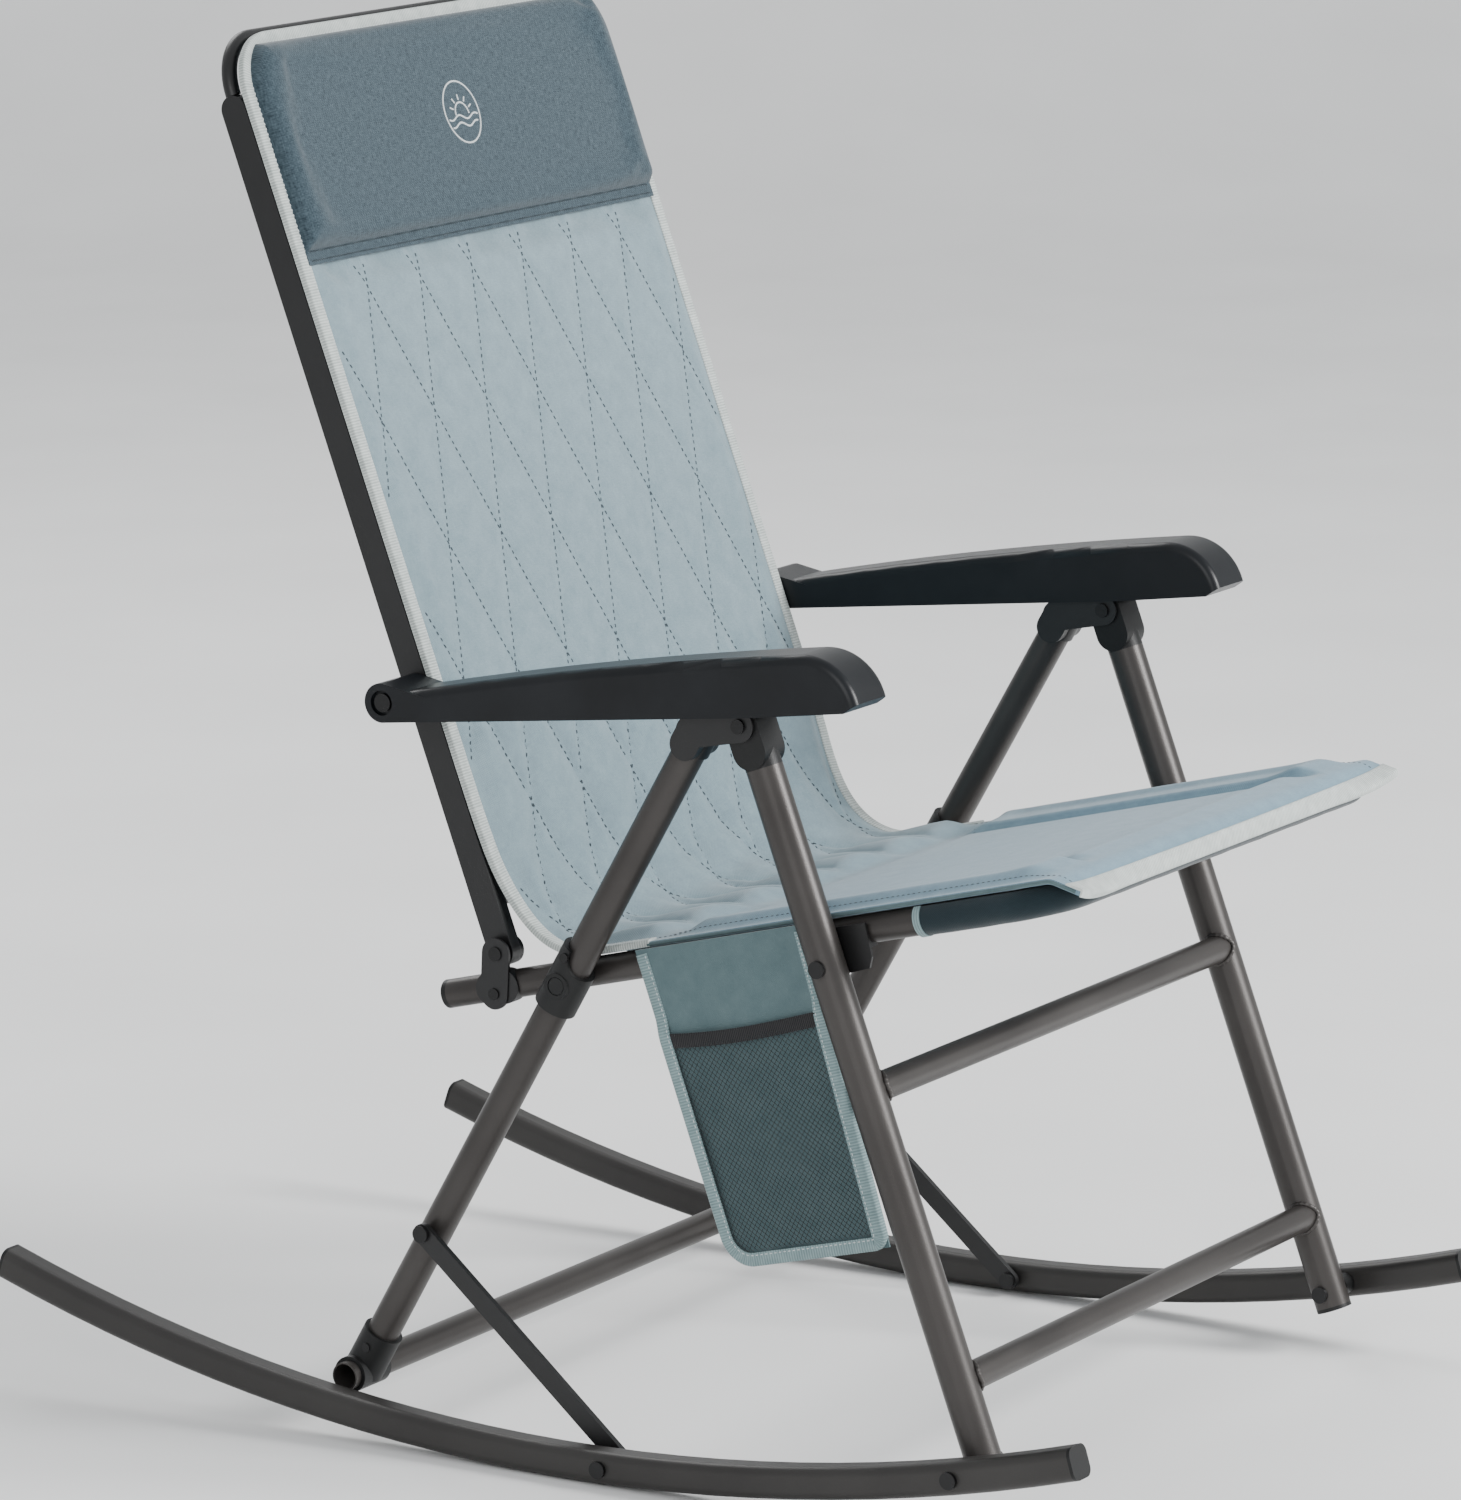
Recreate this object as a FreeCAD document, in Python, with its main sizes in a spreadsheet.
"""Folding camp rocking chair: steel tube frame, quilted seat and back, notched recline arms.

Frame: origin on the floor under the middle of the rockers, +Z up, the front of the chair
towards -Y, and the sitter's left towards +X. All sizes are in millimetres and degrees.
"""
import FreeCAD, Part
import math
import os
import Sketcher
from FreeCAD import Placement, Rotation, Vector

DOC = FreeCAD.newDocument("camp_rocking_chair")

# ---------------------------------------------------------------- driving sizes
SIZES = [
    # rockers
    ("rocker_half_track", 316, "middle of the chair to the middle of a rocker"),
    ("rocker_width", 25, "width of the square rocker tube"),
    ("rocker_height", 25, "height of the square rocker tube"),
    ("rocker_corner", 7, "outer corner radius of the rocker tube"),
    ("rocker_wall", 1.5, "wall of the rocker tube"),
    ("rocker_curve", 1580, "radius of the rocker's middle line"),
    ("rocker_front", 474, "origin forward to the front end"),
    ("rocker_rear", 474, "origin back to the rear end"),
    ("rocker_low", 30, "origin forward to the lowest point"),
    ("plug_lip", 2.5, "thickness of an end plug's head"),
    ("plug_depth", 14, "length of an end plug inside its tube"),
    # legs
    ("leg_half_track", 276, "middle of the chair to the leg plane"),
    ("front_leg_dia", 28, "front leg tube"),
    ("rear_leg_dia", 25, "rear leg tube"),
    ("tube_wall", 1.2, "wall of the round tubes"),
    ("crossbar_dia", 22, "crossbar tube"),
    ("front_foot_y", -375.5, "front leg pivot on the rocker"),
    ("top_pivot_y", -177.5, "pivot that joins the legs, under the arm"),
    ("top_pivot_z", 581, "height of that pivot"),
    ("rear_leg_offset", 32, "pivot to the rear leg's middle line"),
    ("rear_leg_angle", 60, "rear leg to the floor"),
    ("rear_leg_length", 640, "top pivot down to the rear crossbar, along the leg"),
    ("upper_bar_up", 284, "front leg pivot to the upper crossbar, along the leg"),
    ("lower_bar_up", 62, "front leg pivot to the lower crossbar, along the leg"),
    ("bar_forward", 3, "crossbars forward of the front leg's middle line"),
    # link
    ("link_rocker_y", -75, "link pivot on the rocker"),
    ("link_leg_down", 500, "top pivot down to the link pivot, along the rear leg"),
    ("link_width", 15, "flat link bar"),
    ("link_thick", 5, "thickness of the link bar"),
    ("link_gap", 4, "front leg's outer face to the link bar"),
    # seat frame
    ("seat_pivot_up", 380, "front leg pivot up to the seat pivot"),
    ("seat_slope", 14.1, "seat rail to the floor"),
    ("seat_rail_dia", 22, "seat frame tube"),
    ("seat_half_width", 247, "middle of the chair to a seat rail"),
    ("seat_pivot_drop", 19.5, "seat rail down to the seat pivot"),
    ("seat_rear_reach", 352, "seat pivot back to the rail's rear end"),
    ("seat_front_reach", 186, "seat pivot forward to the front tube"),
    ("frame_bend", 42, "bend radius of the seat and back frame corners"),
    ("sleeve_down", 264, "top pivot down to the slide sleeve's pivot"),
    ("sleeve_dia", 33, "slide sleeve"),
    ("sleeve_length", 52, "slide sleeve along the leg"),
    # back frame
    ("back_pivot_y", 56.5, "back pivot"),
    ("back_pivot_rise", 25.7, "back pivot above the seat rail's middle line"),
    ("back_angle", 69.5, "back frame to the floor when upright"),
    ("back_length", 706, "back pivot to the top tube's middle line"),
    ("back_rail_depth", 22, "back rail, front to back"),
    ("back_rail_thick", 12, "back rail, side to side"),
    ("back_half_width", 247.5, "middle of the chair to a back rail"),
    ("arm_pivot_up", 205, "back pivot up to the arm pivot"),
    # arms
    ("arm_inner", 254, "middle of the chair to the arm's inner face"),
    ("arm_width", 49, "arm, side to side"),
    ("arm_wall", 3.5, "wall of the moulded arm"),
    ("arm_hub_dia", 30, "round end of the arm"),
    ("arm_reach", 410, "arm pivot to the arm's front tip"),
    ("arm_rise", 70, "arm pivot up to the top of the arm's front"),
    ("arm_front_height", 44, "arm at its deepest, near the front"),
    ("arm_edge", 7, "rounding along the top of the arm"),
    ("notch_pitch", 33, "distance between recline notches"),
    # soft parts
    ("pad_core", 13, "quilted panels between the rails"),
    ("pad_skin", 4, "quilted panels where they cross the rails"),
    ("headrest_height", 158, "headrest pad along the back"),
    ("headrest_thick", 20, "headrest pad in front of the back panel"),
    ("pocket_drop", 246, "side pocket from the seat edge down"),
    ("pocket_width", 150, "side pocket along the rail"),
    ("pocket_thick", 2, "one fabric wall of the pocket"),
    ("pocket_gap", 5, "room inside the pocket"),
    # fits
    ("pin_dia", 8, "pivot pins"),
    ("head_dia", 13, "rivet and bolt heads"),
    ("head_thick", 3, "rivet and bolt heads"),
    ("pin_clearance", 0.05, "radial running clearance of a pivot"),
    ("side_gap", 0.4, "gap between pieces that turn on each other"),
    ("plate_thick", 2.5, "steel bracket plate"),
]

SHEET = DOC.addObject("Spreadsheet::Sheet", "Sizes")
for row, (alias, value, meaning) in enumerate(SIZES, start=1):
    SHEET.set(f"A{row}", meaning)
    SHEET.set(f"B{row}", str(value))
    SHEET.setAlias(f"B{row}", alias)
DOC.recompute()
S = {alias: float(SHEET.get(alias)) for alias, _, _ in SIZES}


def bind(obj, **expressions):
    """Tie properties of an object to cells of the sheet."""
    for prop, expression in expressions.items():
        for alias in sorted(S, key=len, reverse=True):
            expression = expression.replace(f"[{alias}]", f"Sizes.{alias}")
        obj.setExpression(prop, expression)
    return obj


# ---------------------------------------------------------------- side view layout, as (y, z)
def polar(angle):
    """Unit step at an angle from the rear (+Y) towards up (+Z)."""
    return Vector(0, math.cos(math.radians(angle)), math.sin(math.radians(angle)))


def rocker_point(y):
    """Point of the rocker's middle line."""
    run = y + S["rocker_low"]
    rise = S["rocker_curve"] - math.sqrt(S["rocker_curve"] ** 2 - run ** 2)
    return Vector(0, y, S["rocker_height"] / 2 + rise)


ROCKER_CENTRE = Vector(0, -S["rocker_low"], S["rocker_height"] / 2 + S["rocker_curve"])
FOOT = rocker_point(S["front_foot_y"])
LINK_LOW = rocker_point(S["link_rocker_y"])
TOP = Vector(0, S["top_pivot_y"], S["top_pivot_z"])
LEG_UP = (TOP - FOOT).normalize()
LEG_FORWARD = Vector(0, -LEG_UP.z, LEG_UP.y)

REAR_DOWN = polar(-S["rear_leg_angle"])
REAR_BACK = Vector(0, -REAR_DOWN.z, REAR_DOWN.y)
REAR_TOP = TOP + REAR_BACK * S["rear_leg_offset"]
REAR_FOOT = REAR_TOP + REAR_DOWN * S["rear_leg_length"]
LINK_HIGH = REAR_TOP + REAR_DOWN * S["link_leg_down"]
SLEEVE = REAR_TOP + REAR_DOWN * S["sleeve_down"]

SEAT_PIVOT = FOOT + LEG_UP * S["seat_pivot_up"]
SEAT_FORWARD = polar(180 - S["seat_slope"])
SEAT_UP = polar(90 - S["seat_slope"])
RAIL_AT_PIVOT = SEAT_PIVOT + SEAT_UP * S["seat_pivot_drop"]
RAIL_REAR = RAIL_AT_PIVOT - SEAT_FORWARD * S["seat_rear_reach"]
RAIL_FRONT = RAIL_AT_PIVOT + SEAT_FORWARD * S["seat_front_reach"]
RAIL_RISE = RAIL_AT_PIVOT + SEAT_UP * S["back_pivot_rise"]
BACK_PIVOT = RAIL_RISE + SEAT_FORWARD * ((S["back_pivot_y"] - RAIL_RISE.y) / SEAT_FORWARD.y)
BACK_UP = polar(S["back_angle"])
BACK_FRONT = polar(S["back_angle"] + 90)
BACK_TOP = BACK_PIVOT + BACK_UP * S["back_length"]
ARM_PIVOT = BACK_PIVOT + BACK_UP * S["arm_pivot_up"]
UPPER_BAR = FOOT + LEG_UP * S["upper_bar_up"] + LEG_FORWARD * S["bar_forward"]
LOWER_BAR = FOOT + LEG_UP * S["lower_bar_up"] + LEG_FORWARD * S["bar_forward"]

ARM_MIDDLE = S["arm_inner"] + S["arm_width"] / 2
ROCKER_INNER = S["rocker_half_track"] - S["rocker_width"] / 2
FRONT_LEG_OUTER = S["leg_half_track"] + S["front_leg_dia"] / 2
SPACER_INNER = FRONT_LEG_OUTER + S["side_gap"]
LINK_INNER = FRONT_LEG_OUTER + S["link_gap"]
LINK_OUTER = LINK_INNER + S["link_thick"]
SIDES = (("left", 1), ("right", -1))
ACROSS = Vector(1, 0, 0)


def at(x, point):
    """The side view point moved out to x."""
    return Vector(x, point.y, point.z)


def turned(start, direction):
    """Placement that stands a primitive's own Z axis along a direction."""
    return Placement(start, Rotation(Vector(0, 0, 1), direction))


# ---------------------------------------------------------------- building blocks
def cylinder(name, start, direction, length, radius):
    """Part::Cylinder whose radius is an expression of the sheet."""
    obj = DOC.addObject("Part::Cylinder", name)
    bind(obj, Radius=radius)
    obj.Height = length
    obj.Placement = turned(start, direction)
    return obj


def cross_pin(name, x_from, x_to, point, radius):
    """Cylinder across the chair between two values of x."""
    low, high = sorted((x_from, x_to))
    return cylinder(name, at(low, point), ACROSS, high - low, radius)


def fuse(name, *shapes):
    obj = DOC.addObject("Part::MultiFuse", name)
    obj.Shapes = list(shapes)
    return obj


def cut(name, base, *tools):
    obj = DOC.addObject("Part::Cut", name)
    obj.Base = base
    obj.Tool = tools[0] if len(tools) == 1 else fuse(name + "_tools", *tools)
    return obj


def group(name, *shapes):
    """Identical fasteners kept in one node as separate solids."""
    obj = DOC.addObject("Part::Compound", name)
    obj.Links = list(shapes)
    return obj


def tube(name, start, end, dia, wall="[tube_wall]", bores=()):
    """Hollow round tube between two points; bores are (x, point, radius) holes across it."""
    along = end - start
    direction = Vector(along).normalize()
    outer = cylinder(name + "_outer", start, direction, along.Length, f"{dia} / 2")
    inner = cylinder(name + "_inner", start - direction, direction, along.Length + 2, f"{dia} / 2 - {wall}")
    holes = [
        cross_pin(f"{name}_bore{index}", x - 40, x + 40, point, radius)
        for index, (x, point, radius) in enumerate(bores)
    ]
    return cut(name, outer, inner, *holes)


def side_plane(body):
    """The body's own YZ plane, on which side view profiles are drawn."""
    return next(plane for plane in body.Origin.OriginFeatures if plane.Role == "YZ_Plane")


def sketch_on(body, plane, name):
    sketch = body.newObject("Sketcher::SketchObject", name)
    sketch.AttachmentSupport = (plane, [""])
    sketch.MapMode = "FlatFace"
    return sketch


def draw_loop(sketch, edges):
    """Add a closed outline of Part lines and arcs, which already meet end to end."""
    sketch.addGeometry(edges, False)


def line(first, second):
    return Part.LineSegment(Vector(first[0], first[1], 0), Vector(second[0], second[1], 0))


def arc(first, middle, last):
    return Part.Arc(*(Vector(p[0], p[1], 0) for p in (first, middle, last)))


def polygon(points):
    return [line(points[i], points[(i + 1) % len(points)]) for i in range(len(points))]


def polygon_of(*corners):
    return polygon([(corner.y, corner.z) for corner in corners])


def capsule(first, second, radius):
    """Outline around two points, as a bar with round ends."""
    a = (first.y, first.z)
    b = (second.y, second.z)
    angle = math.atan2(b[1] - a[1], b[0] - a[0])
    dy, dz = radius * math.cos(angle), radius * math.sin(angle)
    a_low, a_high = (a[0] + dz, a[1] - dy), (a[0] - dz, a[1] + dy)
    b_low, b_high = (b[0] + dz, b[1] - dy), (b[0] - dz, b[1] + dy)
    return [
        line(a_low, b_low),
        arc(b_low, (b[0] + dy, b[1] + dz), b_high),
        line(b_high, a_high),
        arc(a_high, (a[0] - dy, a[1] - dz), a_low),
    ]


def add_circle(sketch, point, radius):
    """Hole in a side view sketch, its radius bound to the sheet."""
    index = sketch.addGeometry(Part.Circle(Vector(point.y, point.z, 0), Vector(0, 0, 1), 5), False)
    constraint = sketch.addConstraint(Sketcher.Constraint("Radius", index, 5))
    bind(sketch, **{f"Constraints[{constraint}]": radius})


def plate(name, x_middle, thickness, outline, holes=()):
    """Body padded from a side view outline; holes are (point, radius) through it."""
    body = DOC.addObject("PartDesign::Body", name)
    sketch = sketch_on(body, side_plane(body), name + "_outline")
    draw_loop(sketch, outline)
    for point, radius in holes:
        add_circle(sketch, point, radius)
    pad = body.newObject("PartDesign::Pad", name + "_pad")
    pad.Profile = sketch
    pad.SideType = "Symmetric"
    bind(pad, Length=thickness)
    body.Placement = Placement(Vector(x_middle, 0, 0), Rotation())
    return body


NODES = {}


def node(name, obj):
    """Give a finished sub-part the label that names its file."""
    obj.Label = name
    NODES[name] = obj
    return obj


PIN = "[pin_dia] / 2"
PIN_HOLE = "[pin_dia] / 2 + [pin_clearance]"
BUSH_RADIUS = 8.9
SHOULDER_RADIUS = 9.3
HEAD = "[head_dia] / 2"


# ---------------------------------------------------------------- rockers
def rounded_square(width, height, corner, z_middle):
    """Outline of the rocker tube in a section plane, corners as arcs."""
    w, h, c = width / 2, height / 2, corner
    k = c * (1 - math.sqrt(0.5))
    loop = []
    corners = ((1, -1), (1, 1), (-1, 1), (-1, -1))
    ends = []
    for sx, sz in corners:
        along_side = (sx * w, z_middle + sz * (h - c))
        along_top = (sx * (w - c), z_middle + sz * h)
        middle = (sx * (w - k), z_middle + sz * (h - k))
        first, last = (along_top, along_side) if sx * sz < 0 else (along_side, along_top)
        loop.append(arc(first, middle, last))
        ends.append((first, last))
    for index in range(4):
        loop.append(line(ends[index][1], ends[(index + 1) % 4][0]))
    return loop


def rocker_angle(y):
    """Turn about the rocker's centre from straight down to the point at y."""
    return math.degrees(math.asin((y + S["rocker_low"]) / S["rocker_curve"]))


def swept_section(name, x_middle, y_from, y_to, inset, hollow):
    """Body revolved about the rocker's centre line, from one y to another."""
    body = DOC.addObject("PartDesign::Body", name)
    plane = next(p for p in body.Origin.OriginFeatures if p.Role == "XZ_Plane")
    sketch = sketch_on(body, plane, name + "_section")
    width, height = S["rocker_width"] - 2 * inset, S["rocker_height"] - 2 * inset
    corner = S["rocker_corner"] - inset
    draw_loop(sketch, rounded_square(width, height, corner, -S["rocker_curve"]))
    if hollow:
        wall = S["rocker_wall"]
        inner = rounded_square(width - 2 * wall, height - 2 * wall, corner - wall, -S["rocker_curve"])
        draw_loop(sketch, inner)
    turn = body.newObject("PartDesign::Revolution", name + "_bend")
    turn.Profile = sketch
    turn.ReferenceAxis = (sketch, ["H_Axis"])
    turn.Angle = rocker_angle(y_to) - rocker_angle(y_from)
    body.Placement = Placement(at(x_middle, ROCKER_CENTRE), Rotation(ACROSS, rocker_angle(y_from)))
    return body


plugs = []
for side, sign in SIDES:
    x = sign * S["rocker_half_track"]
    blank = swept_section(f"rocker_{side}_tube", x, -S["rocker_front"], S["rocker_rear"], 0, True)
    holes = [
        cross_pin(f"rocker_{side}_hole{i}", x - 30, x + 30, point, PIN)
        for i, point in enumerate((FOOT, LINK_LOW))
    ]
    node(f"rocker_{side}", cut(f"rocker_{side}", blank, *holes))
    for end, y, outward in (("front", -S["rocker_front"], -1), ("rear", S["rocker_rear"], 1)):
        lip = swept_section(f"plug_{side}_{end}_lip", x, *sorted((y, y + outward * S["plug_lip"])), 0, False)
        stem = swept_section(
            f"plug_{side}_{end}_stem", x, *sorted((y, y - outward * S["plug_depth"])), S["rocker_wall"], False
        )
        plugs.append(fuse(f"plug_{side}_{end}", lip, stem))
node("rocker_end_plugs", group("rocker_end_plugs", *plugs))


def headed_pin(name, x_head, x_tip, point, nut=False):
    """Pin across the chair with a round head at x_head, pointing away from the middle."""
    outward = 1 if x_head > 0 else -1
    shank = cross_pin(name + "_shank", x_head, x_tip, point, PIN)
    head = cross_pin(name + "_head", x_head, x_head + outward * S["head_thick"], point, HEAD)
    parts = [shank, head]
    if nut:
        parts.append(cross_pin(name + "_nut", x_tip, x_tip - outward * S["head_thick"], point, HEAD))
    return fuse(name, *parts)


rocker_outer = S["rocker_half_track"] + S["rocker_width"] / 2
front_leg_inner = S["leg_half_track"] - S["front_leg_dia"] / 2
bolts, spacers, link_bolts = [], [], []
for side, sign in SIDES:
    bolts.append(headed_pin(f"foot_bolt_{side}", sign * rocker_outer, sign * (front_leg_inner - 0.5), FOOT, nut=True))
    ring = cross_pin(f"foot_spacer_{side}_disc", sign * SPACER_INNER, sign * ROCKER_INNER, FOOT, HEAD + " + 2")
    hole = cross_pin(f"foot_spacer_{side}_hole", sign * (SPACER_INNER - 1), sign * (ROCKER_INNER + 1), FOOT, PIN)
    spacers.append(cut(f"foot_spacer_{side}", ring, hole))
    link_bolts.append(
        headed_pin(f"link_bolt_{side}", sign * rocker_outer, sign * (LINK_INNER - 0.2), LINK_LOW, nut=True)
    )
node("front_pivot_bolts", group("front_pivot_bolts", *bolts))
node("front_pivot_spacers", group("front_pivot_spacers", *spacers))
node("link_bolts", group("link_bolts", *link_bolts))

# ---------------------------------------------------------------- front legs
LEG_TUBE_TOP = TOP - LEG_UP * 34
LEG_TUBE_FOOT = FOOT - LEG_UP * 12
foot_plugs, seat_rivets = [], []
for side, sign in SIDES:
    x = sign * S["leg_half_track"]
    leg = tube(
        f"front_leg_{side}", at(x, LEG_TUBE_FOOT), at(x, LEG_TUBE_TOP), "[front_leg_dia]",
        bores=((x, FOOT, PIN_HOLE), (x, SEAT_PIVOT, PIN)),
    )
    node(f"front_leg_{side}", leg)
    cap = cylinder(f"foot_cap_{side}", at(x, LEG_TUBE_FOOT), LEG_UP * -1, 3, "[front_leg_dia] / 2")
    foot_plugs.append(cap)
    # moulded knuckle that carries the top pivot: a neck in the tube and a rounded tongue above it
    neck = cylinder(
        f"knuckle_{side}_neck", at(x, TOP - LEG_UP * 58), LEG_UP, 24, "[front_leg_dia] / 2 - [tube_wall]"
    )
    tongue = plate(f"knuckle_{side}_tongue", x, "[front_leg_dia]", capsule(TOP, LEG_TUBE_TOP + LEG_UP * 14, 14))
    skirt = cylinder(f"knuckle_{side}_skirt", at(x, LEG_TUBE_TOP), LEG_UP, 16, "[front_leg_dia] / 2")
    knuckle = fuse(f"knuckle_{side}_blank", neck, tongue, skirt)
    bore = cross_pin(f"knuckle_{side}_bore", x - 20, x + 20, TOP, PIN_HOLE)
    node(f"leg_top_knuckle_{side}", cut(f"leg_top_knuckle_{side}", knuckle, bore))
    seat_rivets.append(
        headed_pin(
            f"seat_rivet_{side}", sign * FRONT_LEG_OUTER,
            sign * (front_leg_inner - S["side_gap"] - S["plate_thick"] - 0.3), SEAT_PIVOT, nut=True,
        )
    )
node("front_leg_foot_caps", group("front_leg_foot_caps", *foot_plugs))
node("seat_pivot_rivets", group("seat_pivot_rivets", *seat_rivets))

# crossbars end in a saddle cut, so each end follows the leg that it is welded to
for name, point in (("upper_front_crossbar", UPPER_BAR), ("lower_front_crossbar", LOWER_BAR)):
    half = S["leg_half_track"]
    bar = tube(name + "_blank", at(-half, point), at(half, point), "[crossbar_dia]")
    legs = [
        cylinder(f"{name}_leg_{side}", at(sign * half, LEG_TUBE_FOOT), LEG_UP, 500, "[front_leg_dia] / 2")
        for side, sign in SIDES
    ]
    node(name, cut(name, bar, *legs))

# ---------------------------------------------------------------- rear legs
BRACKET_START = 14
BRACKET_END = 46
LATCH_PIN = TOP + LEG_UP * 21 + LEG_FORWARD * 2
saddle_length = 42
socket_up = 38
pins, latch_pins, socket_rivets = [], [], []
for side, sign in SIDES:
    x = sign * S["leg_half_track"]
    top = REAR_TOP + REAR_DOWN * BRACKET_START
    foot = REAR_FOOT - REAR_DOWN * (S["crossbar_dia"] / 2)
    saddle_cut = cross_pin(f"rear_leg_{side}_notch", x - 30, x + 30, REAR_FOOT, "[crossbar_dia] / 2 + 3")
    leg = tube(f"rear_leg_{side}_blank", at(x, top), at(x, foot), "[rear_leg_dia]")
    node(f"rear_leg_{side}", cut(f"rear_leg_{side}", leg, saddle_cut))

    # steel bracket: a short socket over the leg and two ears that hold the top pivot and latch pin
    socket = cylinder(
        f"bracket_{side}_socket", at(x, top), REAR_DOWN, BRACKET_END - BRACKET_START, "[rear_leg_dia] / 2 + 2"
    )
    ear_shift = S["front_leg_dia"] / 2 + S["side_gap"] + S["plate_thick"] / 2
    ears = []
    for where in (-1, 1):
        x_ear = x + where * ear_shift
        reach = REAR_TOP + REAR_DOWN * (BRACKET_START + 14)
        ears.append(plate(f"bracket_{side}_ear{where + 1}", x_ear, "[plate_thick]", capsule(TOP, reach, 12)))
        ears.append(plate(f"bracket_{side}_horn{where + 1}", x_ear, "[plate_thick]", capsule(TOP, LATCH_PIN, 8)))
    web = plate(
        f"bracket_{side}_web", x, "[front_leg_dia] + 2 * [side_gap] + [plate_thick]",
        capsule(REAR_TOP + REAR_DOWN * 30, REAR_TOP + REAR_DOWN * 40, 12),
    )
    blank = fuse(f"bracket_{side}_blank", socket, web, *ears)
    bore = cylinder(f"bracket_{side}_bore", at(x, top - REAR_DOWN * 5), REAR_DOWN, 80, "[rear_leg_dia] / 2")
    holes = [
        cross_pin(f"bracket_{side}_hole{i}", x - 30, x + 30, point, radius)
        for i, (point, radius) in enumerate(((TOP, PIN), (LATCH_PIN, "2.5")))
    ]
    node(f"top_bracket_{side}", cut(f"top_bracket_{side}", blank, bore, *holes))
    reach = ear_shift + S["plate_thick"] / 2
    pin = cross_pin(f"top_pin_{side}_shank", x - reach, x + reach, TOP, PIN)
    heads = [
        cross_pin(f"top_pin_{side}_head{w + 1}", x + w * reach, x + w * (reach + 2.2), TOP, "5.5") for w in (-1, 1)
    ]
    pins.append(fuse(f"top_pin_{side}", pin, *heads))
    latch_pins.append(cross_pin(f"latch_pin_{side}", x - reach, x + reach, LATCH_PIN, "2.5"))

    # moulded foot socket: a sleeve up the leg and a barrel around the rear crossbar
    sleeve = cylinder(
        f"foot_socket_{side}_sleeve", at(x, REAR_FOOT - REAR_DOWN * socket_up), REAR_DOWN, socket_up,
        "[rear_leg_dia] / 2 + 3",
    )
    barrel = cross_pin(
        f"foot_socket_{side}_barrel", x - saddle_length / 2 + 2, x + saddle_length / 2 - 4, REAR_FOOT,
        "[crossbar_dia] / 2 + 3",
    )
    around = fuse(f"foot_socket_{side}_blank", sleeve, barrel)
    bar_bore = cross_pin(f"foot_socket_{side}_bar", x - 60, x + 60, REAR_FOOT, "[crossbar_dia] / 2")
    leg_bore = cylinder(
        f"foot_socket_{side}_leg", at(x, REAR_FOOT - REAR_DOWN * (socket_up + 5)), REAR_DOWN,
        socket_up + 5 - S["crossbar_dia"] / 2, "[rear_leg_dia] / 2",
    )
    node(f"rear_foot_socket_{side}", cut(f"rear_foot_socket_{side}", around, bar_bore, leg_bore))
    rivet_at = REAR_FOOT - REAR_DOWN * 26
    x_skin = x + sign * (S["rear_leg_dia"] / 2 + 3)
    rivet = cross_pin(f"socket_rivet_{side}_blank", x_skin - sign * 0.6, x_skin + sign * 1.2, rivet_at, "3.5")
    socket_rivets.append(cut(f"socket_rivet_{side}", rivet, NODES[f"rear_foot_socket_{side}"]))
node("top_pivot_pins", group("top_pivot_pins", *pins))
node("latch_pins", group("latch_pins", *latch_pins))
bar_half = ROCKER_INNER - S["side_gap"] - 1
node("rear_crossbar", tube("rear_crossbar", at(-bar_half, REAR_FOOT), at(bar_half, REAR_FOOT), "[crossbar_dia]"))
node("foot_socket_rivets", group("foot_socket_rivets", *socket_rivets))

# ---------------------------------------------------------------- link bars
link_rivets = []
for side, sign in SIDES:
    middle = sign * (LINK_INNER + LINK_OUTER) / 2
    outline = capsule(LINK_LOW, LINK_HIGH, S["link_width"] / 2)
    bar = plate(f"link_{side}", middle, "[link_thick]", outline, ((LINK_LOW, PIN_HOLE), (LINK_HIGH, PIN)))
    node(f"link_{side}", bar)
    beside_leg = S["leg_half_track"] + S["front_leg_dia"] / 2 + 0.4
    link_rivets.append(headed_pin(f"link_rivet_{side}", sign * LINK_OUTER, sign * beside_leg, LINK_HIGH))
node("link_rivets", group("link_rivets", *link_rivets))

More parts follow.
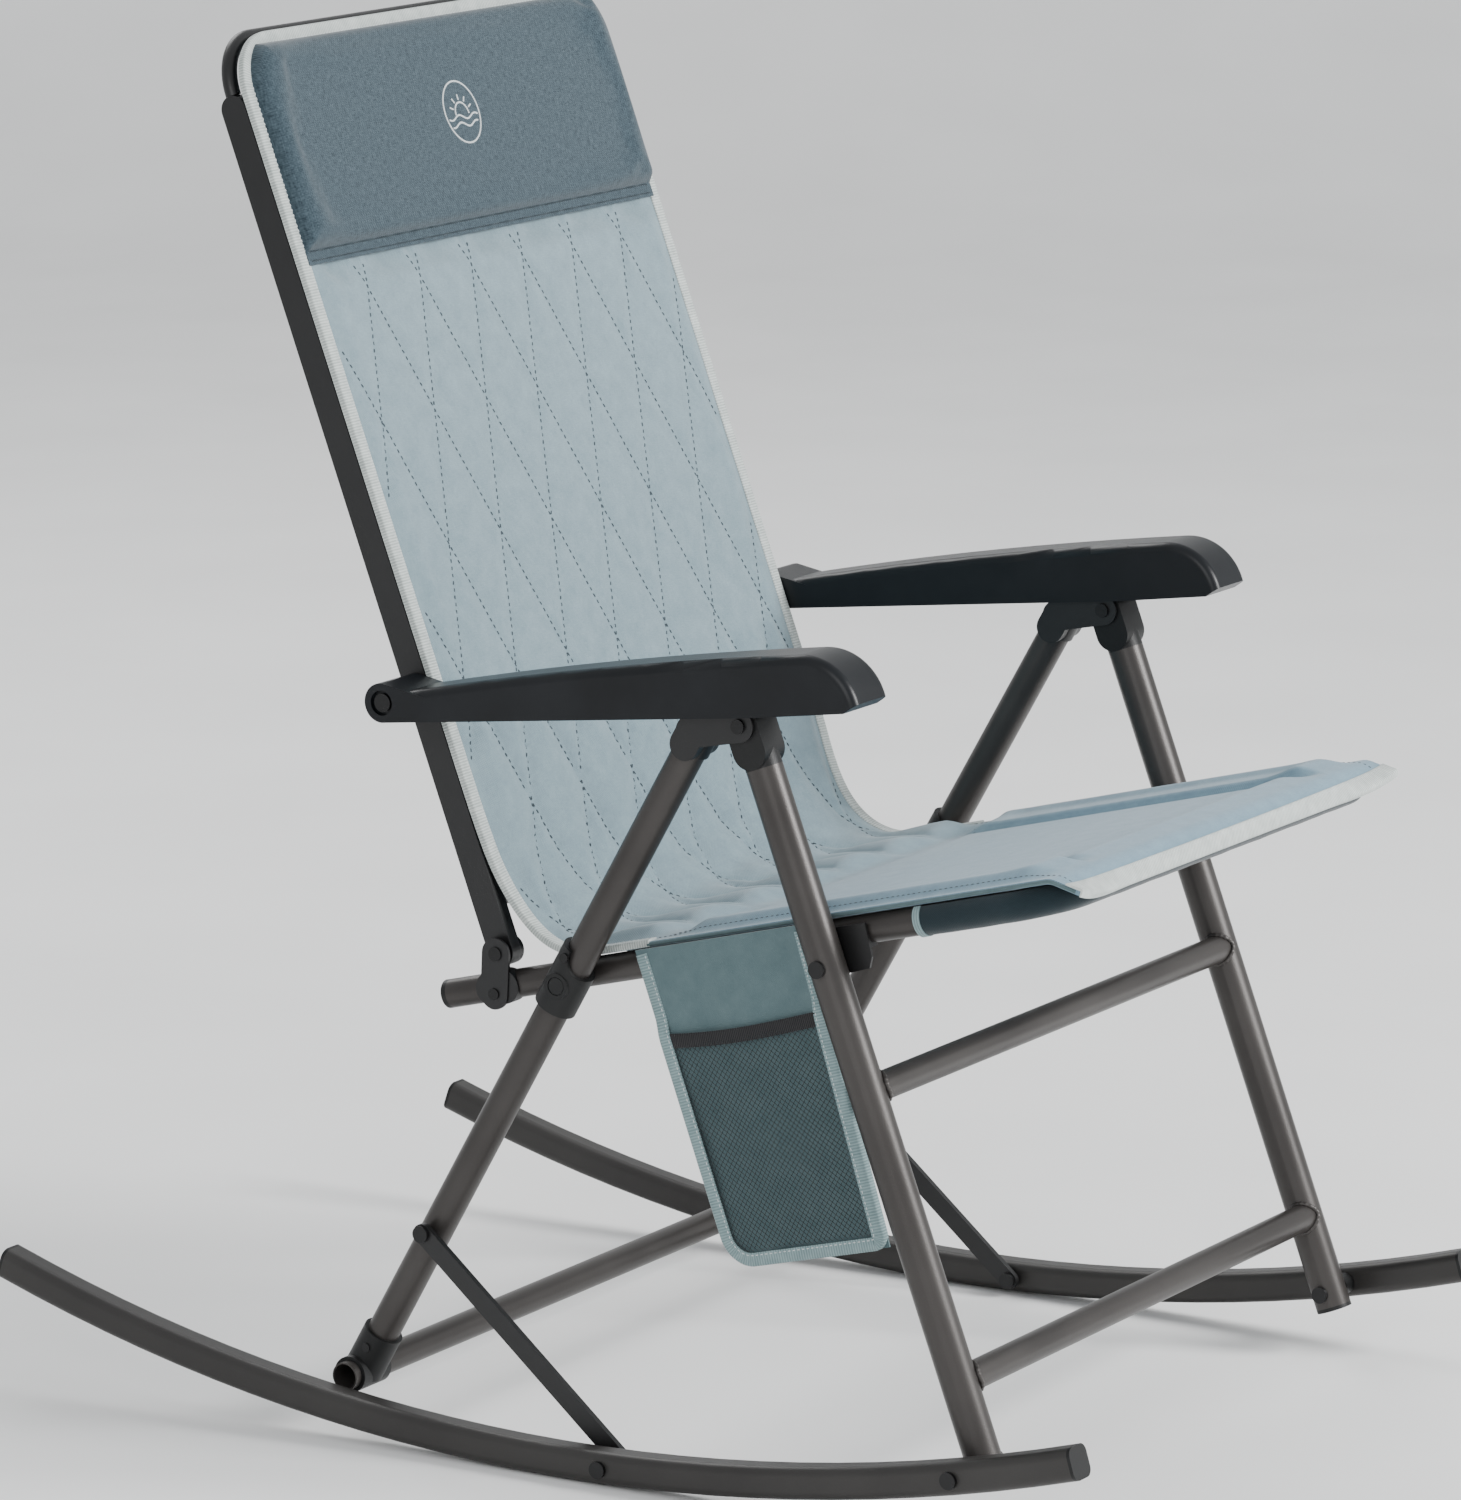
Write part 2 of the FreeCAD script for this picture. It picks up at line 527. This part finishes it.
# ---------------------------------------------------------------- slide sleeves on the rear legs
sleeve_pins, sleeve_screws = [], []
sleeve_below = 22
sleeve_above = S["sleeve_length"] - sleeve_below
for side, sign in SIDES:
    x = sign * S["leg_half_track"]
    x_skin = x + sign * S["sleeve_dia"] / 2
    top = SLEEVE - REAR_DOWN * sleeve_above
    shell = cylinder(f"sleeve_{side}_shell", at(x, top), REAR_DOWN, S["sleeve_length"], "[sleeve_dia] / 2")
    boss = cross_pin(f"sleeve_{side}_boss", x, x_skin + sign * 0.4, SLEEVE, "10")
    bore = cylinder(
        f"sleeve_{side}_bore", at(x, top - REAR_DOWN * 5), REAR_DOWN, S["sleeve_length"] + 10,
        "[rear_leg_dia] / 2 + 0.35",
    )
    scoop = cross_pin(f"sleeve_{side}_scoop", x - 40, x + 40, top - REAR_BACK * 14, "17")
    dish = cross_pin(f"sleeve_{side}_dish", x_skin - sign * 1.6, x_skin + sign * 2, SLEEVE, "7")
    blank = fuse(f"sleeve_{side}_blank", shell, boss)
    node(f"slide_sleeve_{side}", cut(f"slide_sleeve_{side}", blank, bore, scoop, dish))
    sleeve_pins.append(cross_pin(f"sleeve_pin_{side}", x_skin - sign * 1.6, x_skin, SLEEVE, "6.5"))
    screw_at = SLEEVE - REAR_DOWN * (sleeve_above - 7) + REAR_BACK * 5
    screw = cross_pin(f"sleeve_screw_{side}_blank", x_skin - sign * 1.6, x_skin + sign * 0.6, screw_at, "3.6")
    sleeve_screws.append(cut(f"sleeve_screw_{side}", screw, NODES[f"slide_sleeve_{side}"]))
node("sleeve_pivot_caps", group("sleeve_pivot_caps", *sleeve_pins))
node("sleeve_screws", group("sleeve_screws", *sleeve_screws))

# ---------------------------------------------------------------- seat frame
bend = S["frame_bend"]
rail_caps, elbows, back_rivets, bracket_rivets = [], [], [], []
for side, sign in SIDES:
    x = sign * S["seat_half_width"]
    rail_end = RAIL_FRONT - SEAT_FORWARD * bend
    rail = tube(f"seat_rail_{side}", at(x, RAIL_REAR), at(x, rail_end), "[seat_rail_dia]")
    node(f"seat_rail_{side}", rail)
    rail_caps.append(cylinder(f"rail_cap_{side}", at(x, RAIL_REAR), SEAT_FORWARD * -1, 4, "[seat_rail_dia] / 2"))
    # quarter turn between the rail and the front tube
    corner = DOC.addObject("Part::Torus", f"seat_elbow_{side}_ring")
    bind(corner, Radius1="[frame_bend]", Radius2="[seat_rail_dia] / 2", Angle3="90")
    hollow = DOC.addObject("Part::Torus", f"seat_elbow_{side}_bore")
    bind(hollow, Radius1="[frame_bend]", Radius2="[seat_rail_dia] / 2 - [tube_wall]", Angle3="90")
    rotation = Rotation(Vector(sign, 0, 0), SEAT_FORWARD, SEAT_UP * sign, "XYZ")
    for ring in (corner, hollow):
        ring.Placement = Placement(at(x - sign * bend, rail_end), rotation)
    elbows.append(cut(f"seat_elbow_{side}", corner, hollow))
node("seat_rail_rear_caps", group("seat_rail_rear_caps", *rail_caps))
node("seat_frame_elbows", group("seat_frame_elbows", *elbows))
front_half = S["seat_half_width"] - bend
node("seat_front_tube", tube("seat_front_tube", at(-front_half, RAIL_FRONT), at(front_half, RAIL_FRONT), "[seat_rail_dia]"))

rail_outer = S["seat_half_width"] + S["seat_rail_dia"] / 2
hanger_x = front_leg_inner - S["side_gap"] - S["plate_thick"] / 2
saddle_x = rail_outer + 0.2 + S["plate_thick"] / 2
hanger_reach = 30
for side, sign in SIDES:
    # plate that drops from the rail to the pivot on the front leg
    plate_outline = polygon_of(
        SEAT_PIVOT - SEAT_FORWARD * 11 - SEAT_UP * 4,
        SEAT_PIVOT - SEAT_FORWARD * 5 - SEAT_UP * 10,
        SEAT_PIVOT + SEAT_FORWARD * (hanger_reach - 4) - SEAT_UP * 8,
        SEAT_PIVOT + SEAT_FORWARD * hanger_reach,
        RAIL_AT_PIVOT + SEAT_FORWARD * hanger_reach + SEAT_UP * 6,
        RAIL_AT_PIVOT - SEAT_FORWARD * 11 + SEAT_UP * 6,
    )
    hanger = plate(f"hanger_{side}_plate", sign * hanger_x, "[plate_thick]", plate_outline, ((SEAT_PIVOT, PIN_HOLE),))
    tab_outline = polygon_of(
        RAIL_AT_PIVOT - SEAT_FORWARD * 9 - SEAT_UP * 13,
        RAIL_AT_PIVOT + SEAT_FORWARD * (hanger_reach - 2) - SEAT_UP * 13,
        RAIL_AT_PIVOT + SEAT_FORWARD * (hanger_reach - 2) + SEAT_UP * 4,
        RAIL_AT_PIVOT - SEAT_FORWARD * 9 + SEAT_UP * 4,
    )
    tab_width = hanger_x - S["seat_half_width"]
    tab = plate(f"hanger_{side}_tab", sign * (S["seat_half_width"] + tab_width / 2), f"{tab_width}", tab_outline)
    core = cylinder(
        f"hanger_{side}_core", at(sign * S["seat_half_width"], RAIL_REAR), SEAT_FORWARD, 520, "[seat_rail_dia] / 2"
    )
    node(f"seat_hanger_{side}", cut(f"seat_hanger_{side}", fuse(f"hanger_{side}_blank", hanger, tab), core))

    # upright plate outside the rail that holds the back rail's pivot
    rail_below = BACK_PIVOT - SEAT_UP * S["back_pivot_rise"]
    lower = rail_below - SEAT_FORWARD * 9 - SEAT_UP * 4
    upright = plate(
        f"saddle_{side}_plate", sign * saddle_x, "[plate_thick]", capsule(BACK_PIVOT, lower, 12),
        ((BACK_PIVOT, PIN_HOLE),),
    )
    strap = plate(
        f"saddle_{side}_strap", sign * (S["seat_half_width"] + saddle_x) / 2,
        f"{saddle_x - S['seat_half_width']}", capsule(rail_below - SEAT_FORWARD * 12, rail_below, 13),
    )
    core = cylinder(
        f"saddle_{side}_core", at(sign * S["seat_half_width"], RAIL_REAR - SEAT_FORWARD * 20), SEAT_FORWARD, 300,
        "[seat_rail_dia] / 2",
    )
    node(f"back_saddle_{side}", cut(f"back_saddle_{side}", fuse(f"saddle_{side}_blank", upright, strap), core))
    x_plate = sign * (saddle_x + S["plate_thick"] / 2)
    bracket_rivets.append(cross_pin(f"saddle_rivet_{side}", x_plate, x_plate + sign * 1.2, lower, "4.5"))
    x_inner = sign * (S["back_half_width"] - S["back_rail_thick"] / 2)
    x_outer = sign * (S["back_half_width"] + S["back_rail_thick"] / 2)
    shank = cross_pin(f"back_rivet_{side}_shank", x_plate, x_inner, BACK_PIVOT, PIN)
    bush = cross_pin(f"back_rivet_{side}_bush", x_inner, x_outer, BACK_PIVOT, f"{BUSH_RADIUS}")
    outer_head = cross_pin(f"back_rivet_{side}_head", x_plate, x_plate + sign * 1.2, BACK_PIVOT, "5.5")
    inner_head = cross_pin(f"back_rivet_{side}_tail", x_inner, x_inner - sign * 4, BACK_PIVOT, "11")
    back_rivets.append(fuse(f"back_rivet_{side}", shank, bush, outer_head, inner_head))
node("back_saddle_rivets", group("back_saddle_rivets", *bracket_rivets))
node("back_pivot_rivets", group("back_pivot_rivets", *back_rivets))

# ---------------------------------------------------------------- back frame
back_elbows = []
for side, sign in SIDES:
    x = sign * S["back_half_width"]
    low = BACK_PIVOT
    high = BACK_TOP - BACK_UP * bend
    rail = plate(
        f"back_rail_{side}_bar", x, "[back_rail_thick]", capsule(low, high, S["back_rail_depth"] / 2 - 0.01),
        ((BACK_PIVOT, f"{BUSH_RADIUS} + [pin_clearance]"), (ARM_PIVOT, PIN_HOLE)),
    )
    inner_core = plate(
        f"back_rail_{side}_core", x, "[back_rail_thick] - 2 * [tube_wall]",
        capsule(low + BACK_UP * 24, ARM_PIVOT - BACK_UP * 24, S["back_rail_depth"] / 2 - 2),
    )
    upper_core = plate(
        f"back_rail_{side}_core2", x, "[back_rail_thick] - 2 * [tube_wall]",
        capsule(ARM_PIVOT + BACK_UP * 24, high - BACK_UP * 14, S["back_rail_depth"] / 2 - 2),
    )
    node(f"back_rail_{side}", cut(f"back_rail_{side}", rail, inner_core, upper_core))
    corner = DOC.addObject("Part::Torus", f"back_elbow_{side}")
    bind(corner, Radius1="[frame_bend]", Radius2="[back_rail_thick] / 2", Angle3="90")
    start = high + BACK_UP * (S["back_rail_depth"] / 2)
    corner.Placement = Placement(
        at(x - sign * bend, start), Rotation(Vector(sign, 0, 0), BACK_UP, Vector(0, 0, 0), "XYZ")
    )
    back_elbows.append(corner)
node("back_frame_elbows", group("back_frame_elbows", *back_elbows))
bow = BACK_TOP + BACK_UP * (S["back_rail_depth"] / 2)
bow_half = S["back_half_width"] - bend
node("back_top_tube", cylinder("back_top_tube", at(-bow_half, bow), ACROSS, 2 * bow_half, "[back_rail_thick] / 2"))
stay = BACK_PIVOT + BACK_UP * 40
stay_half = S["back_half_width"] - S["back_rail_thick"] / 2
node("back_lower_stay", tube("back_lower_stay", at(-stay_half, stay), at(stay_half, stay), "14"))


# ---------------------------------------------------------------- arms
HUB = S["arm_hub_dia"] / 2
ARM_TIP_Y = ARM_PIVOT.y - S["arm_reach"]
ARM_TOP_Z = ARM_PIVOT.z + S["arm_rise"]
ARM_LOW_Z = ARM_TOP_Z - S["arm_front_height"]
ARM_NECK = (ARM_PIVOT.y - 22, ARM_PIVOT.z + HUB * 0.72)
ARM_CROWN = (ARM_TIP_Y + 48, ARM_TOP_Z)


def top_line(y, below=0.0):
    """Height of the arm's upper edge, a straight rise from the neck to the crown."""
    share = (ARM_NECK[0] - y) / (ARM_NECK[0] - ARM_CROWN[0])
    return ARM_NECK[1] + share * (ARM_CROWN[1] - ARM_NECK[1]) - below


def arm_outline():
    """Side view of the arm: round hub, crowned top that rises to a blunt beak, straight belly."""
    middle = (ARM_NECK[0] + ARM_CROWN[0]) / 2
    return [
        arc((ARM_PIVOT.y, ARM_PIVOT.z - HUB), (ARM_PIVOT.y + HUB, ARM_PIVOT.z), (ARM_PIVOT.y, ARM_PIVOT.z + HUB)),
        line((ARM_PIVOT.y, ARM_PIVOT.z + HUB), ARM_NECK),
        arc(ARM_NECK, (middle, top_line(middle) + 4), ARM_CROWN),
        arc(ARM_CROWN, (ARM_TIP_Y + 19, ARM_TOP_Z - 7), (ARM_TIP_Y, ARM_LOW_Z + 12)),
        line((ARM_TIP_Y, ARM_LOW_Z + 12), (ARM_TIP_Y + 10, ARM_LOW_Z + 5)),
        line((ARM_TIP_Y + 10, ARM_LOW_Z + 5), (ARM_TIP_Y + 90, ARM_LOW_Z - 6)),
        line((ARM_TIP_Y + 90, ARM_LOW_Z - 6), (ARM_PIVOT.y, ARM_PIVOT.z - HUB)),
    ]


def round_top_edges(body, pad, name):
    """Round the two long edges and the nose where the top meets the sides."""
    chosen = []
    for index, edge in enumerate(pad.Shape.Edges, start=1):
        middle = edge.valueAt((edge.FirstParameter + edge.LastParameter) / 2)
        in_side = abs(abs(middle.x) - S["arm_width"] / 2) < 0.01
        on_top = edge.Curve.TypeId == "Part::GeomCircle" and middle.y < ARM_NECK[0]
        if in_side and on_top:
            chosen.append(f"Edge{index}")
    fillet = body.newObject("PartDesign::Fillet", name)
    fillet.Base = (pad, chosen)
    bind(fillet, Radius="[arm_edge]")


for side, sign in SIDES:
    x = sign * ARM_MIDDLE
    x_face = sign * (S["arm_inner"] + S["arm_width"])
    body = plate(f"arm_{side}_shell", x, "[arm_width]", arm_outline())
    DOC.recompute()
    round_top_edges(body, body.Tip, f"arm_{side}_edges")
    # channel under the arm, open below and closed around the hub
    wall = S["arm_wall"] + 1
    rear_y, front_y = ARM_PIVOT.y - 34, ARM_TIP_Y + 24
    cavity_points = [
        (rear_y, ARM_PIVOT.z - 60),
        (rear_y, top_line(rear_y, wall)),
        (ARM_CROWN[0], top_line(ARM_CROWN[0], wall)),
        (front_y, ARM_TOP_Z - 18),
        (front_y, ARM_PIVOT.z - 60),
    ]
    channel = plate(f"arm_{side}_channel", x, "[arm_width] - 2 * [arm_wall]", polygon(cavity_points))
    x_bore, x_mouth = x_face - sign * 5.6, sign * (S["arm_inner"] - 5)
    bore = cross_pin(f"arm_{side}_bore", x_bore, x_mouth, ARM_PIVOT, f"{SHOULDER_RADIUS} + [pin_clearance]")
    dish = cross_pin(f"arm_{side}_dish", x_face - sign * 4, x_face + sign * 4, ARM_PIVOT, "9.5")
    moulding = cut(f"arm_{side}_moulding", body, channel, bore, dish)

    # scalloped rack under the roof of the channel, over the latch pin
    rack_low = LATCH_PIN.z + 2.5 + 2.2
    rack_front, rack_rear = LATCH_PIN.y - 2 * S["notch_pitch"] - 11, LATCH_PIN.y + 8
    blank = plate(
        f"rack_{side}_blank", x, "14",
        polygon([(rack_front, rack_low), (rack_rear, rack_low), (rack_rear, 700), (rack_front, 700)]),
    )
    under_roof = DOC.addObject("Part::MultiCommon", f"rack_{side}_under_roof")
    under_roof.Shapes = [blank, channel]
    scallops = [
        cross_pin(
            f"rack_{side}_notch{i}", x - 20, x + 20,
            Vector(0, LATCH_PIN.y - i * S["notch_pitch"], rack_low), "4.5",
        )
        for i in range(3)
    ]
    rack = cut(f"rack_{side}", under_roof, *scallops)
    node(f"arm_{side}", fuse(f"arm_{side}", moulding, rack))
    x_rail = sign * (S["back_half_width"] - S["back_rail_thick"] / 2)
    shank = cross_pin(f"hub_pin_{side}_shank", x_face - sign * 7, x_rail, ARM_PIVOT, PIN)
    tail = cross_pin(f"hub_pin_{side}_tail", x_rail, x_rail - sign * 2.5, ARM_PIVOT, "6.5")
    x_near = sign * (S["arm_inner"] + 0.3)
    shoulder = cross_pin(f"hub_pin_{side}_shoulder", x_face - sign * 6.2, x_near, ARM_PIVOT, f"{SHOULDER_RADIUS}")
    node(f"arm_hub_pin_{side}", fuse(f"arm_hub_pin_{side}", shank, tail, shoulder))
    screw = cross_pin(f"hub_screw_{side}", x_face - sign * 4, x_face - sign * 1, ARM_PIVOT, "7")
    node(f"arm_hub_screw_{side}", screw)


# ---------------------------------------------------------------- soft parts, as plain closed solids
def slab(name, half_width, start, along, up, length, thickness):
    """Box across the chair: runs along one side view direction, its thickness along another."""
    if ACROSS.cross(along).dot(up) < 0:
        start = start + along * length
    box = DOC.addObject("Part::Box", name)
    box.Length = 2 * half_width
    box.Width = length
    bind(box, Height=thickness)
    box.Placement = Placement(at(-half_width, start), Rotation(ACROSS, Vector(), up, "ZXY"))
    return box


SOFT_GAP = 0.4
pad_bottom = -2.0
rail_radius = S["seat_rail_dia"] / 2
rail_under_pivot = BACK_PIVOT - SEAT_UP * S["back_pivot_rise"]
seat_reach = (RAIL_FRONT - rail_under_pivot).dot(SEAT_FORWARD)
core = slab(
    "seat_pad_core", S["seat_half_width"] - rail_radius - SOFT_GAP,
    rail_under_pivot + SEAT_FORWARD * 34 + SEAT_UP * pad_bottom, SEAT_FORWARD, SEAT_UP,
    seat_reach - 34 - bend - SOFT_GAP, "[pad_core] + 0.4",
)
skin = slab(
    "seat_pad_skin", S["arm_inner"] - 0.5,
    rail_under_pivot + SEAT_FORWARD * 46 + SEAT_UP * (rail_radius + SOFT_GAP), SEAT_FORWARD, SEAT_UP,
    seat_reach - 46 + rail_radius, "[pad_skin]",
)
node("seat_pad", fuse("seat_pad", core, skin))

half_depth = S["back_rail_depth"] / 2
back_inner = S["back_half_width"] - S["back_rail_thick"] / 2
core = slab(
    "back_pad_core", back_inner - 2.5 - SOFT_GAP, BACK_PIVOT + BACK_UP * 56 + BACK_FRONT * pad_bottom, BACK_UP, BACK_FRONT,
    S["back_length"] - 56 - bend, "[pad_core] + 0.4",
)
skin = slab(
    "back_pad_skin", S["back_half_width"] + S["back_rail_thick"] / 2 - 0.1,
    BACK_PIVOT + BACK_UP * 56 + BACK_FRONT * (half_depth + SOFT_GAP), BACK_UP, BACK_FRONT,
    S["back_length"] - 56 + half_depth + 4, "[pad_skin]",
)
node("back_pad", fuse("back_pad", core, skin))

skin_front = half_depth + SOFT_GAP + S["pad_skin"] + SOFT_GAP
head_low = BACK_TOP + BACK_UP * (half_depth + 4 - S["headrest_height"]) + BACK_FRONT * skin_front
head = slab(
    "headrest_pad", S["back_half_width"] + 2, head_low, BACK_UP, BACK_FRONT, S["headrest_height"], "[headrest_thick]"
)
node("headrest_pad", head)

# side pocket on the sitter's right: a flap outside the seat rail, with a mesh bag on its lower part
POCKET_DOWN = polar(-90 - S["seat_slope"] - 4.5)
pocket_taper = 6
band_share = 0.27
hem = 10
corner = RAIL_AT_PIVOT - SEAT_FORWARD * 172 + SEAT_UP * rail_radius
flap_inner = rail_outer + 0.3


def pocket_point(along, down):
    """Point of the pocket: along its width from the rear edge, and down from the seat."""
    taper = pocket_taper * down / S["pocket_drop"]
    share = along / S["pocket_width"]
    return corner + POCKET_DOWN * down + SEAT_FORWARD * (taper + share * (S["pocket_width"] - 2 * taper))


def pocket_strip(name, x_inner, thickness, along_low, along_high, down_low, down_high):
    outline = polygon_of(
        pocket_point(along_low, down_low), pocket_point(along_high, down_low),
        pocket_point(along_high, down_high), pocket_point(along_low, down_high),
    )
    return plate(name, -(x_inner + thickness / 2), f"{thickness}", outline)


width, drop, thick = S["pocket_width"], S["pocket_drop"], S["pocket_thick"]
band_top = drop * band_share
bag_inner = flap_inner + thick
bag_outer = bag_inner + S["pocket_gap"]
node("side_pocket_backing", pocket_strip("side_pocket_backing", flap_inner, thick, 0, width, 0, drop))
rims = [
    pocket_strip("pocket_rim_rear", bag_inner, bag_outer + thick - bag_inner, 0, hem, band_top, drop),
    pocket_strip("pocket_rim_front", bag_inner, bag_outer + thick - bag_inner, width - hem, width, band_top, drop),
    pocket_strip("pocket_rim_low", bag_inner, bag_outer + thick - bag_inner, 0, width, drop - hem, drop),
]
node("side_pocket_binding", fuse("side_pocket_binding", *rims))
mesh = pocket_strip("side_pocket_mesh", bag_outer, thick, hem, width - hem, band_top + 12, drop - hem)
node("side_pocket_mesh", mesh)
band = pocket_strip("side_pocket_band", bag_outer, thick, hem, width - hem, band_top, band_top + 12)
node("side_pocket_band", band)

# ---------------------------------------------------------------- check and write
DOC.recompute()
for obj in DOC.Objects:
    if {"Invalid", "Error"} & set(obj.State):
        raise RuntimeError(f"{obj.Label} did not recompute: {obj.State}")

os.makedirs("parts", exist_ok=True)
for name, obj in NODES.items():
    shape = obj.Shape
    if shape.isNull() or not shape.isValid():
        raise RuntimeError(f"{name} has no valid shape")
    shape.exportStep(f"parts/{name}.step")
    print(f"{name:28s} solids {len(shape.Solids)}  volume {shape.Volume / 1000:9.2f} cm3")
print(len(NODES), "nodes")
